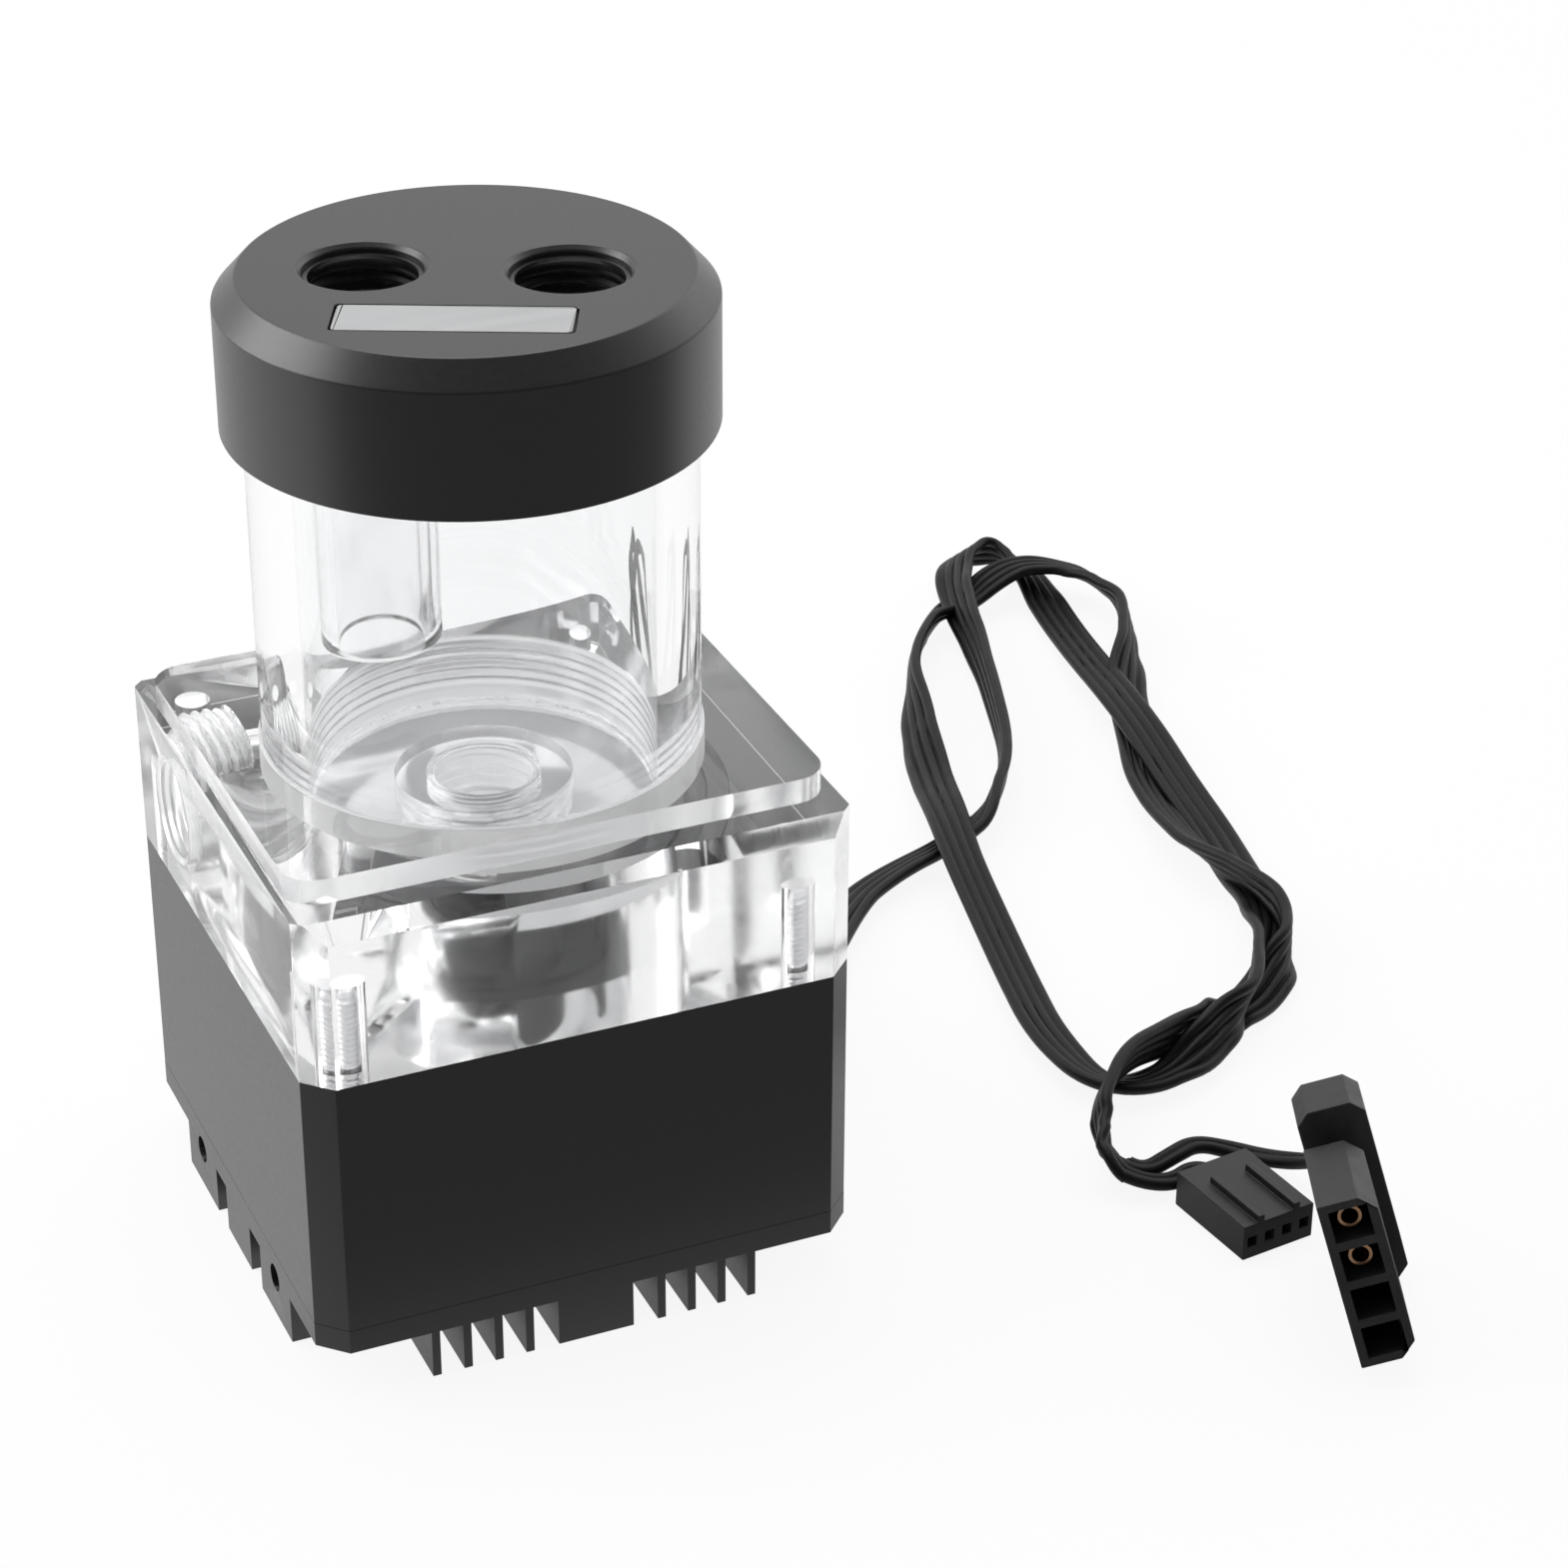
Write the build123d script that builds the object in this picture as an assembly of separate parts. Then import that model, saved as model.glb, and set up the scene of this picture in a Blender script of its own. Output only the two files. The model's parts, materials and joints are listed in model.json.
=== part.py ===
from build123d import *
import math
import os

# Body and base, in millimetres
body_side = 65.0
corner_chamfer = 3.1
fin_height = 6.0
fin_thickness = 1.0
fins_per_side = 4
centre_rib_width = 9.2
first_fin_offset = 3.5
last_fin_margin = 5.15
rail_depth = 8.0
rail_end_inset = 12.5
rail_notch_width = 4.0
plate_thickness = 3.0
side_hole_radius = 1.65
side_hole_depth = 7.0
side_hole_inset = 5.7
side_hole_height = 5.3

# Housing
housing_height = 32.0
flange_wall = 4.5
flange_step = 1.0
bore_step = 2.5
flange_pocket_depth = 3.0
cable_slot_width = 8.6
cable_slot_height = 5.4
cable_exit_y = 8.0

# Clear pump top
block_height = 20.0
ledge_chamfer = 2.0
plateau_height = 3.0
plateau_side_inset = 1.0
plateau_front_inset = 5.5
plateau_corner_radius = 4.0
socket_depth = 9.0
boss_radius = 10.2
boss_height = 4.0
inlet_thread_depth = 6.0
inlet_throat_radius = 5.4
port_radius = 6.58
outlet_depth = 8.5
outlet_screw_wall = 1.47
outlet_drop = 10.0
outlet_channel_radius = 3.6
cavity_height = 9.0
volute_gap = 2.2
volute_growth = 0.8

# Corner screws
screw_inset = 6.0
screw_radius = 1.95
screw_head_radius = 3.8
screw_head_height = 2.1
screw_head_recess = 0.3
screw_socket_radius = 1.44
screw_socket_depth = 1.4
screw_bite = 10.0

# Tube, cap and what they carry
tube_inset = 7.5
tube_wall_share = 0.2
tube_exposed = 37.8
cap_wall = 2.45
cap_height = 17.35
cap_recess_depth = 10.0
cap_chamfer_drop = 2.9
cap_chamfer_in = 2.65
cap_turned = -25.0
drop_tube_gap = 1.85
port_rim_chamfer = 0.6
drop_tube_radius = 7.0
drop_tube_wall = 2.0
drop_tube_seat = 2.0
drop_tube_hang = 26.3
drop_tube_round = 0.8
nameplate_width = 7.0
nameplate_end_margin = 2.905
nameplate_shift = 1.69
nameplate_thickness = 0.75
nameplate_corner_radius = 0.6
nameplate_recess = 0.05

# Seals
seal_thickness = 1.5
seal_width = 2.6
main_seal_inset = 3.8
main_seal_height = 2.0
seal_edge_round = 0.6

# Rotor, bearing and cup
sphere_below_seal = 1.0
cup_flange_width = 13.0
cup_wall = 1.2
cup_skirt_wall = 1.9
cup_skirt_height = 4.0
pin_radius = 1.4
pin_boss_radius = 3.0
pin_boss_height = 2.5
pin_grip_in_ball = 1.6
ball_radius = 3.0
magnet_wall = 3.6
magnet_gap = 0.6
magnet_eye_radius = 4.6
impeller_side_gap = 0.4
impeller_disc = 1.5
hub_radius = 5.0
hub_height = 5.6
hub_round = 1.6
vane_count = 7
vane_thickness = 1.1
vane_sweep = 58.0
vane_bow = 8.0
impeller_headroom = 1.0

# Stator and board
core_height = 6.0
core_ring_wall = 4.9
pole_count = 6
pole_width = 6.0
pole_gap = 0.5
coil_build = 1.8
coil_cup_gap = 1.15
coil_corner_radius = 1.4
board_gap = 1.0
board_thickness = 1.6
board_margin = 1.5
chip_side = 7.0
chip_height = 1.0
switch_length = 5.0
switch_width = 4.2
switch_inset = 9.5
capacitor_radius = 3.15
capacitor_height = 6.0
sensor_length = 2.9
sensor_width = 1.6
pad_thickness = 1.5
pad_inset = 1.5
lead_radius = 0.65
lead_pitch = 1.6
lead_count = 4
lead_reach = 5.0
pole_inner_radius = 5.0

# Cable and plugs
ribbon_tube_radius = 1.55
pair_tube_radius = 0.75
bend_share = 0.45
exit_run = 7.0
fan_split_run = 2.2
power_split_run = 2.0
fan_lead_run = 2.4
power_lead_run = 6.0
way_count = 4
wired_ways = 2
grommet_lip = 1.5
grommet_lip_margin = 0.7
grommet_length = 8.0
fan_plug_length = 13.6
fan_plug_width = 10.2
fan_plug_height = 4.7
fan_rib_height = 0.9
fan_rib_width = 0.9
fan_rib_length = 9.8
fan_rib_spacing = 5.2
fan_pitch = 2.54
fan_hole = 1.3
fan_hole_depth = 9.0
fan_contact_wall = 0.2
fan_contact_length = 4.5
power_pitch = 5.08
power_width = 6.6
power_wall = 1.1
power_body_length = 14.0
power_cell_depth = 11.0
power_chamfer = 1.9
power_neck_length = 3.4
power_neck_width = 4.4
power_neck_inset = 3.0
power_grip_length = 7.4
power_grip_overhang = 2.6
power_grip_side = 1.4
power_grip_bevel = 1.5
power_contact_radius = 1.35
power_contact_wall = 0.35
power_contact_length = 9.0

# Clearances
screw_clearance = 0.25
thread_clearance = 0.3
running_clearance = 0.05
fit_clearance = 0.1
hidden_overlap = 1.0

# Levels and radii worked out from the sizes above
half_side = body_side / 2
rail_half_length = half_side - rail_end_inset
side_hole_y = rail_half_length - side_hole_inset
fin_field = half_side - rail_depth - centre_rib_width / 2 - first_fin_offset - last_fin_margin
fin_pitch = fin_field / (fins_per_side - 1)
screw_offset = half_side - screw_inset
cup_flange_radius = half_side - flange_wall
upper_bore_radius = cup_flange_radius - flange_step
lower_bore_radius = upper_bore_radius - bore_step
main_seal_radius = cup_flange_radius - main_seal_inset
board_radius = lower_bore_radius - board_gap
pad_radius = board_radius - pad_inset
switch_circle_radius = board_radius - switch_inset
plateau_length = body_side - 2 * plateau_side_inset
plateau_width = body_side - 2 * plateau_front_inset
outlet_y = screw_offset - screw_radius - port_radius - outlet_screw_wall
tube_outer_radius = half_side - tube_inset
tube_wall = tube_outer_radius * tube_wall_share
cap_radius = tube_outer_radius + cap_wall
cap_top_radius = cap_radius - cap_chamfer_in
cap_port_offset = tube_outer_radius - tube_wall - drop_tube_radius - drop_tube_gap
nameplate_offset = (port_radius + port_rim_chamfer + cap_top_radius) / 2 - nameplate_shift
nameplate_outer = nameplate_offset + nameplate_width / 2
nameplate_length = 2 * math.sqrt((cap_top_radius - nameplate_end_margin) ** 2 - nameplate_outer ** 2)
plate_z = fin_height
housing_z = plate_z + plate_thickness
seal_z = housing_z + housing_height
ledge_z = seal_z + block_height
plateau_z = ledge_z + plateau_height
socket_z = plateau_z - socket_depth
cavity_z = seal_z + cavity_height
tube_bottom_z = socket_z + seal_thickness
cap_z = plateau_z + tube_exposed
cap_roof_z = cap_z + cap_recess_depth
cap_top_z = cap_z + cap_height
tube_top_z = cap_roof_z - seal_thickness
flange_z = seal_z - flange_pocket_depth
core_z = flange_z - cup_skirt_height - core_height
sphere_z = seal_z - sphere_below_seal
pad_z = housing_z
board_z = pad_z + pad_thickness
cable_z = housing_z + cable_slot_height / 2
screw_tip_z = seal_z + screw_bite
cup_inner_radius = cup_flange_radius - cup_flange_width
cup_outer_radius = cup_inner_radius + cup_wall
impeller_radius = cup_inner_radius - impeller_side_gap
volute_start_radius = impeller_radius + volute_gap
core_radius = upper_bore_radius - fit_clearance
core_inner_radius = core_radius - core_ring_wall
socket_radius = tube_outer_radius + thread_clearance
outlet_z = ledge_z - outlet_drop
drop_tube_bottom_z = cap_z - drop_tube_hang
seal_mid_radius = tube_outer_radius - tube_wall / 2
bottom_up = (Align.CENTER, Align.CENTER, Align.MIN)


def rod(radius, z_low, z_high, x=0.0, y=0.0):
    """Upright cylinder between two levels."""
    return Pos(x, y, z_low) * Cylinder(radius, z_high - z_low, align=bottom_up)


def slab(size_x, size_y, z_low, z_high, x=0.0, y=0.0):
    """Upright box between two levels, centred on a point."""
    return Pos(x, y, z_low) * Box(size_x, size_y, z_high - z_low, align=bottom_up)


def square_prism(z_low, z_high):
    """Square block of the body's outline, with its upright corners cut off."""
    block = slab(body_side, body_side, z_low, z_high)
    return chamfer(block.edges().filter_by(Axis.Z), corner_chamfer)


def seal_ring(mid_radius, width, z_low, z_high):
    """Squeezed ring seal: flat where it seals and rounded on its free sides."""
    section = Pos(mid_radius, (z_low + z_high) / 2) * Rectangle(width, z_high - z_low)
    section = fillet(section.vertices(), seal_edge_round)
    return revolve(Plane.XZ * section, Axis.Z)


def screw_places():
    """Centres of the four corner screws."""
    return [(sx * screw_offset, sy * screw_offset) for sx in (-1, 1) for sy in (-1, 1)]


def cut_screw_holes(solid, z_low, z_high):
    """Drill the four corner screw holes between two levels."""
    for x, y in screw_places():
        solid -= rod(screw_radius + screw_clearance, z_low, z_high, x, y)
    return solid


def countersink(recess, clearance):
    """Cone of a screw's head, from a recess below it up to its shank."""
    slope = (screw_head_radius - screw_radius) / screw_head_height
    wide = screw_head_radius + slope * recess + clearance
    return Cone(wide, screw_radius + clearance, screw_head_height + recess, align=bottom_up)


def make_heatsink_base():
    """Base plate with straight fins, a centre rib and two slotted side rails."""
    base = square_prism(plate_z, housing_z)
    base += slab(centre_rib_width, body_side, 0, plate_z)
    for side in (-1, 1):
        for i in range(fins_per_side):
            x = side * (centre_rib_width / 2 + first_fin_offset + i * fin_pitch)
            base += slab(fin_thickness, body_side, 0, plate_z, x)
        rail_x = side * (half_side - rail_depth / 2)
        rail = slab(rail_depth, 2 * rail_half_length, 0, plate_z, rail_x)
        for end in (-1, 1):
            notch_y = end * (centre_rib_width / 2 + rail_notch_width / 2)
            rail -= slab(rail_depth, rail_notch_width, 0, plate_z, rail_x, notch_y)
        base += rail
        for end in (-1, 1):
            hole = Cylinder(side_hole_radius, side_hole_depth, align=bottom_up)
            place = Pos(side * half_side, end * side_hole_y, side_hole_height)
            base -= place * Rot(0, -90 * side, 0) * hole
    for x, y in screw_places():
        base -= Pos(x, y, plate_z) * countersink(screw_head_recess, running_clearance)
    return cut_screw_holes(base, plate_z, housing_z)


def make_pump_housing():
    """Square housing bored for the pump, with a slot for the cable."""
    housing = square_prism(housing_z, seal_z)
    housing -= rod(lower_bore_radius, housing_z, core_z)
    housing -= rod(upper_bore_radius, core_z, flange_z)
    housing -= rod(cup_flange_radius + fit_clearance, flange_z, seal_z)
    slot = slab(half_side, cable_slot_width, housing_z, housing_z + cable_slot_height,
                half_side / 2, cable_exit_y)
    housing -= slot
    return cut_screw_holes(housing, housing_z, seal_z)


def volute_face():
    """Spiral outline of the pump chamber: four quarter arcs, each a step larger."""
    r = volute_start_radius
    g = volute_growth
    centres = [(0, 0), (g, 0), (g, g), (0, g)]
    edges = []
    for i, (cx, cy) in enumerate(centres):
        radius = r + i * g
        start = math.radians(90 * (i + 1))
        middle = start + math.radians(45)
        end = start + math.radians(90)
        points = [(cx + radius * math.cos(a), cy + radius * math.sin(a)) for a in (start, middle, end)]
        edges.append(ThreePointArc(*points))
    edges.append(Line((0, r + len(centres) * g), (0, r)))
    return make_face(edges)


def make_pump_top():
    """Clear block with the tube's socket, the inlet boss, the chamber and the outlet."""
    block = square_prism(seal_z, ledge_z)
    long_edges = block.edges().filter_by(Axis.X).group_by(Axis.Z)[-1]
    block = chamfer(long_edges, ledge_chamfer)
    plateau = RectangleRounded(plateau_length, plateau_width, plateau_corner_radius)
    block += Pos(0, 0, ledge_z) * extrude(plateau, plateau_height)
    block -= rod(socket_radius, socket_z, plateau_z)
    block += rod(boss_radius, socket_z, socket_z + boss_height)
    boss_top = socket_z + boss_height
    block -= rod(port_radius, boss_top - inlet_thread_depth, boss_top)
    block -= rod(inlet_throat_radius, seal_z, boss_top)
    block -= Pos(0, 0, seal_z) * extrude(volute_face(), cavity_height)
    port = Cylinder(port_radius, outlet_depth, align=bottom_up)
    block -= Pos(-half_side, outlet_y, outlet_z) * Rot(0, 90, 0) * port
    channel_z = cavity_z - outlet_channel_radius - fit_clearance
    channel = Cylinder(outlet_channel_radius, half_side - outlet_depth + hidden_overlap, align=bottom_up)
    channel_start = -half_side + outlet_depth - hidden_overlap
    block -= Pos(channel_start, outlet_y, channel_z) * Rot(0, 90, 0) * channel
    for x, y in screw_places():
        block -= rod(screw_radius + fit_clearance, seal_z, screw_tip_z + hidden_overlap, x, y)
    return block


def make_body_screws():
    """Four long countersunk screws from under the plate into the clear block."""
    screws = []
    for x, y in screw_places():
        head_z = plate_z + screw_head_recess
        screw = Pos(x, y, head_z) * countersink(0, 0) + rod(screw_radius, head_z, screw_tip_z, x, y)
        socket = RegularPolygon(screw_socket_radius, 6)
        screws.append(screw - Pos(x, y, head_z) * extrude(socket, screw_socket_depth))
    return screws


def make_isolation_cup():
    """Flange and round cup that keep the coolant out of the motor."""
    shell = Pos(0, 0, sphere_z) * Sphere(cup_outer_radius)
    shell &= rod(cup_flange_radius, 0, seal_z)
    cup = shell + rod(cup_flange_radius, flange_z, seal_z)
    skirt_outer = upper_bore_radius - fit_clearance
    skirt = rod(skirt_outer, core_z + core_height, flange_z)
    skirt -= rod(skirt_outer - cup_skirt_wall, core_z + core_height, flange_z)
    cup += skirt
    cup -= Pos(0, 0, sphere_z) * Sphere(cup_inner_radius)
    cup -= rod(cup_inner_radius, sphere_z, seal_z)
    boss_low = sphere_z - cup_inner_radius - cup_wall / 2
    boss_high = sphere_z - cup_inner_radius + pin_boss_height
    cup += rod(pin_boss_radius, boss_low, boss_high)
    cup -= rod(pin_radius + running_clearance, boss_low, boss_high)
    groove = rod(main_seal_radius + seal_width / 2 + fit_clearance, seal_z - main_seal_height, seal_z)
    groove -= rod(main_seal_radius - seal_width / 2 - fit_clearance, seal_z - main_seal_height, seal_z)
    return cup - groove


def make_stator_core():
    """Steel ring with inward poles, hollowed to the cup's round outside."""
    top = core_z + core_height
    core = rod(core_radius, core_z, top) - rod(core_inner_radius, core_z, top)
    pole_length = core_inner_radius + hidden_overlap - pole_inner_radius
    for i in range(pole_count):
        pole = slab(pole_length, pole_width, core_z, top, pole_inner_radius + pole_length / 2)
        core += Rot(0, 0, 360 / pole_count * i) * pole
    return core - Pos(0, 0, sphere_z) * Sphere(cup_outer_radius + pole_gap)


def make_stator_coils():
    """One winding round each pole."""
    coils = []
    inner = pole_width + 2 * fit_clearance
    full = inner + 2 * coil_build
    outside = math.sqrt(core_inner_radius ** 2 - (full / 2) ** 2) - fit_clearance
    coil_length = outside - cup_outer_radius - coil_cup_gap
    middle = outside - coil_length / 2
    low = core_z - fit_clearance
    high = core_z + core_height + fit_clearance
    for i in range(pole_count):
        coil = slab(coil_length, full, low - coil_build, high + coil_build, middle)
        coil = fillet(coil.edges().filter_by(Axis.X), coil_corner_radius)
        coil -= slab(coil_length, inner, low, high, middle)
        coils.append(Rot(0, 0, 360 / pole_count * i) * coil)
    return coils


def make_board_components():
    """Driver chip, six switches, a storage capacitor and a sensor on the board's top."""
    top = board_z + board_thickness
    parts = [slab(chip_side, chip_side, top, top + chip_height)]
    for i in range(pole_count):
        switch = slab(switch_length, switch_width, top, top + chip_height, switch_circle_radius)
        parts.append(Rot(0, 0, 360 / pole_count * (i + 0.5)) * switch)
    edge = board_radius - capacitor_radius - board_margin
    parts.append(rod(capacitor_radius, top, top + capacitor_height, -edge))
    sensor_y = sensor_width / 2 + board_margin - board_radius
    parts.append(slab(sensor_length, sensor_width, top, top + chip_height, 0, sensor_y))
    return parts


def make_board_leads():
    """Cable cores from the grommet's inner face to their pads on the board."""
    lead_z = board_z + board_thickness + lead_radius
    start = half_side - grommet_length
    leads = []
    for i in range(lead_count):
        y = cable_exit_y + (i - (lead_count - 1) / 2) * lead_pitch
        lead = Cylinder(lead_radius, lead_reach, align=bottom_up)
        leads.append(Pos(start, y, lead_z) * Rot(0, -90, 0) * lead)
    return leads


def make_bearing_pin():
    """Pin that carries the bearing ball."""
    low = sphere_z - cup_inner_radius - cup_wall / 2
    return rod(pin_radius, low, sphere_z - ball_radius + pin_grip_in_ball)


def make_bearing_ball():
    """Ball that the rotor turns on, drilled for its pin."""
    ball = Pos(0, 0, sphere_z) * Sphere(ball_radius)
    low = sphere_z - ball_radius - hidden_overlap
    return ball - rod(pin_radius + running_clearance, low, sphere_z - ball_radius + pin_grip_in_ball)


def make_rotor_magnet():
    """Bowl-shaped magnet ring under the impeller's disc."""
    outer = cup_inner_radius - magnet_gap
    bowl = Pos(0, 0, sphere_z) * Sphere(outer)
    bowl &= rod(outer, sphere_z - outer, sphere_z)
    bowl -= Pos(0, 0, sphere_z) * Sphere(outer - magnet_wall)
    return bowl - rod(magnet_eye_radius, sphere_z - outer, sphere_z)


def make_impeller():
    """Disc with swept-back vanes and a domed hub that holds the ball's socket."""
    disc_top = sphere_z + impeller_disc
    impeller = rod(impeller_radius, sphere_z, disc_top)
    hub = rod(hub_radius, sphere_z, sphere_z + hub_height)
    hub = fillet(hub.edges().group_by(Axis.Z)[-1], hub_round)
    impeller += hub
    vane_top = cavity_z - impeller_headroom
    root = hub_radius - vane_thickness
    tip = impeller_radius
    middle = (root + tip) / 2
    bend = math.radians(vane_sweep / 2 - vane_bow)
    sweep_angle = math.radians(vane_sweep)
    mid_point = (middle * math.cos(bend), -middle * math.sin(bend))
    tip_point = (tip * math.cos(sweep_angle), -tip * math.sin(sweep_angle))
    curve = ThreePointArc((root, 0), mid_point, tip_point)
    vane = extrude(trace(curve, vane_thickness), vane_top - disc_top)
    vane = Pos(0, 0, disc_top) * vane
    vane &= rod(impeller_radius, disc_top, vane_top)
    for i in range(vane_count):
        impeller += Rot(0, 0, 360 / vane_count * i) * vane
    return impeller - Pos(0, 0, sphere_z) * Sphere(ball_radius + running_clearance)


def make_reservoir_tube():
    """Clear tube that screws into the block and the cap."""
    tube = rod(tube_outer_radius, tube_bottom_z, tube_top_z)
    return tube - rod(tube_outer_radius - tube_wall, tube_bottom_z, tube_top_z)


def cap_port_places():
    """Centres of the two cap ports, on the turned diameter."""
    return [Rot(0, 0, cap_turned) * Pos(side * cap_port_offset, 0, 0) for side in (-1, 1)]


def make_top_cap():
    """Cap with a bevelled rim, two ports and a shallow pocket for the plate."""
    cap = rod(cap_radius, cap_z, cap_top_z)
    cap = chamfer(cap.edges().group_by(Axis.Z)[-1], cap_chamfer_drop, cap_chamfer_in)
    cap -= rod(tube_outer_radius + thread_clearance, cap_z, cap_roof_z)
    for place in cap_port_places():
        cap -= place * rod(port_radius, cap_roof_z, cap_top_z)
        rim = Cone(port_radius, port_radius + port_rim_chamfer, port_rim_chamfer, align=bottom_up)
        cap -= place * Pos(0, 0, cap_top_z - port_rim_chamfer) * rim
    seat = rod(drop_tube_radius + running_clearance, cap_roof_z, cap_roof_z + drop_tube_seat)
    cap -= cap_port_places()[0] * seat
    depth = nameplate_thickness + nameplate_recess
    pocket = RectangleRounded(nameplate_length + 2 * fit_clearance, nameplate_width + 2 * fit_clearance,
                              nameplate_corner_radius)
    place = Rot(0, 0, cap_turned) * Pos(0, -nameplate_offset, cap_top_z - depth)
    return cap - place * extrude(pocket, depth)


def make_nameplate():
    """Bare inlaid plate on the cap."""
    plate = extrude(RectangleRounded(nameplate_length, nameplate_width, nameplate_corner_radius),
                    nameplate_thickness)
    depth = nameplate_thickness + nameplate_recess
    return Rot(0, 0, cap_turned) * Pos(0, -nameplate_offset, cap_top_z - depth) * plate


def make_drop_tube():
    """Clear return tube that hangs from the left port."""
    top = cap_roof_z + drop_tube_seat
    tube = rod(drop_tube_radius, drop_tube_bottom_z, top)
    tube = fillet(tube.edges().group_by(Axis.Z)[0], drop_tube_round)
    tube -= rod(drop_tube_radius - drop_tube_wall, drop_tube_bottom_z, top)
    return cap_port_places()[0] * tube


def make_cable_grommet():
    """Rubber grommet that fills the cable slot, with a lip outside."""
    body_width = cable_slot_width - 2 * fit_clearance
    body_height = cable_slot_height - fit_clearance
    grommet = slab(grommet_length, body_width, housing_z, housing_z + body_height,
                   half_side - grommet_length / 2, cable_exit_y)
    lip = Box(grommet_lip, body_width + 2 * grommet_lip_margin, body_height + grommet_lip_margin)
    lip = fillet(lip.edges().filter_by(Axis.X), grommet_lip_margin)
    lip_z = housing_z + (body_height + grommet_lip_margin) / 2
    return grommet + Pos(half_side + grommet_lip / 2, cable_exit_y, lip_z) * lip


# Cable route: the ribbon lies on the floor in one long loop that crosses itself
floor_z = 1.6
hump_z = 5.4
ribbon_points = [
    (half_side + grommet_lip, cable_exit_y, cable_z),
    (half_side + grommet_lip + exit_run, cable_exit_y, cable_z),
    (49.5, 11.5, 8.4),
    (57.0, 21.0, 3.8),
    (63.5, 33.5, floor_z),
    (73.0, 43.5, floor_z),
    (85.0, 49.5, floor_z),
    (95.0, 58.5, floor_z),
    (103.0, 71.0, floor_z),
    (109.0, 85.0, floor_z),
    (113.5, 99.0, 2.4),
    (116.0, 110.5, hump_z),
    (119.0, 121.0, hump_z),
    (122.5, 128.0, 4.6),
    (127.5, 132.0, 3.8),
    (132.5, 131.0, 2.8),
    (135.0, 125.5, 2.0),
    (134.0, 117.5, floor_z),
    (131.0, 106.0, floor_z),
    (128.0, 92.0, 2.6),
    (126.0, 79.0, hump_z),
    (124.0, 66.0, hump_z),
    (122.0, 53.0, 2.4),
    (120.0, 39.0, floor_z),
    (117.0, 27.0, floor_z),
    (114.5, 15.0, 2.6),
    (110.5, 4.5, hump_z),
    (103.5, -4.5, hump_z),
    (94.5, -11.0, 2.8),
    (84.5, -14.0, floor_z),
    (76.0, -9.5, floor_z),
    (73.0, 1.5, floor_z),
    (75.5, 15.0, floor_z),
    (79.0, 29.0, 2.6),
    (81.0, 42.0, hump_z),
    (84.5, 54.5, hump_z),
    (88.5, 68.0, 2.4),
    (94.0, 83.0, floor_z),
    (101.0, 98.0, floor_z),
    (109.5, 110.5, floor_z),
    (119.0, 116.5, 1.7),
    (128.5, 120.5, hump_z),
    (137.0, 122.8, hump_z),
    (142.8, 119.5, 3.8),
    (144.8, 112.0, 2.2),
    (142.5, 102.5, floor_z),
    (137.0, 91.5, floor_z),
    (130.0, 80.5, floor_z),
    (121.5, 69.5, floor_z),
    (115.5, 57.0, floor_z),
    (113.0, 46.0, 2.8),
    (115.0, 36.0, hump_z),
    (120.0, 24.5, hump_z),
    (120.5, 14.5, 2.6),
    (115.5, 5.0, floor_z),
    (107.0, -2.0, floor_z),
    (97.5, -3.5, floor_z),
    (88.5, -3.0, 2.8),
    (81.0, -6.5, hump_z),
    (75.0, -13.5, hump_z),
    (71.6, -19.5, floor_z),
    (70.3, -23.6, floor_z),
    (71.6, -27.2, floor_z),
    (73.8, -29.2, floor_z),
]

# Plug places: where each stands on the floor and which way it points
fan_plug_front = (80.3, -48.8)
fan_plug_heading = -82.8
power_plug_front = (78.46, -77.11)
power_plug_rise = 3.35
power_forward = (-0.413, -0.904, 0.113)
power_up = (-0.223, 0.221, 0.949)
fan_axis = Vector(1, 0, 0).rotate(Axis.Z, fan_plug_heading)
fan_plane = Plane(origin=(*fan_plug_front, 0), x_dir=fan_axis, z_dir=(0, 0, 1))
power_axis = Vector(*power_forward).normalized()
power_row = (Vector(*power_up) - power_axis * Vector(*power_up).dot(power_axis)).normalized()
power_plane = Plane(origin=(*power_plug_front, power_plug_rise), x_dir=power_axis, z_dir=power_row)
power_row_length = way_count * power_pitch + power_wall - fit_clearance
power_length = power_body_length + power_neck_length + power_grip_length


def plane_point(plane, x, y, z):
    """A plug's own point in the part's frame."""
    return tuple(plane.from_local_coords(Vector(x, y, z)))


# Split: the two pairs leave the ribbon's end side by side and run straight into their plugs
split_last = Vector(*ribbon_points[-1])
split_heading = (split_last - Vector(*ribbon_points[-2])).normalized()
split_across = Vector(-split_heading.Y, split_heading.X, 0) * (pair_tube_radius + running_clearance)
fan_wire_start = split_last - split_across
power_wire_start = split_last + split_across
fan_wire_points = [
    tuple(fan_wire_start),
    tuple(fan_wire_start + split_heading * fan_split_run),
    plane_point(fan_plane, -fan_plug_length - fan_lead_run, 0, fan_plug_height / 2),
    plane_point(fan_plane, -fan_plug_length, 0, fan_plug_height / 2),
]
power_wire_points = [
    tuple(power_wire_start),
    tuple(power_wire_start + split_heading * power_split_run),
    (79.4, -30.8, 3.4),
    (83.6, -30.6, 4.8),
    (87.8, -32.8, 6.0),
    (90.0, -37.6, 7.4),
    plane_point(power_plane, -power_length - power_lead_run, 0, power_row_length / 2),
    plane_point(power_plane, -power_length, 0, power_row_length / 2),
]


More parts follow.
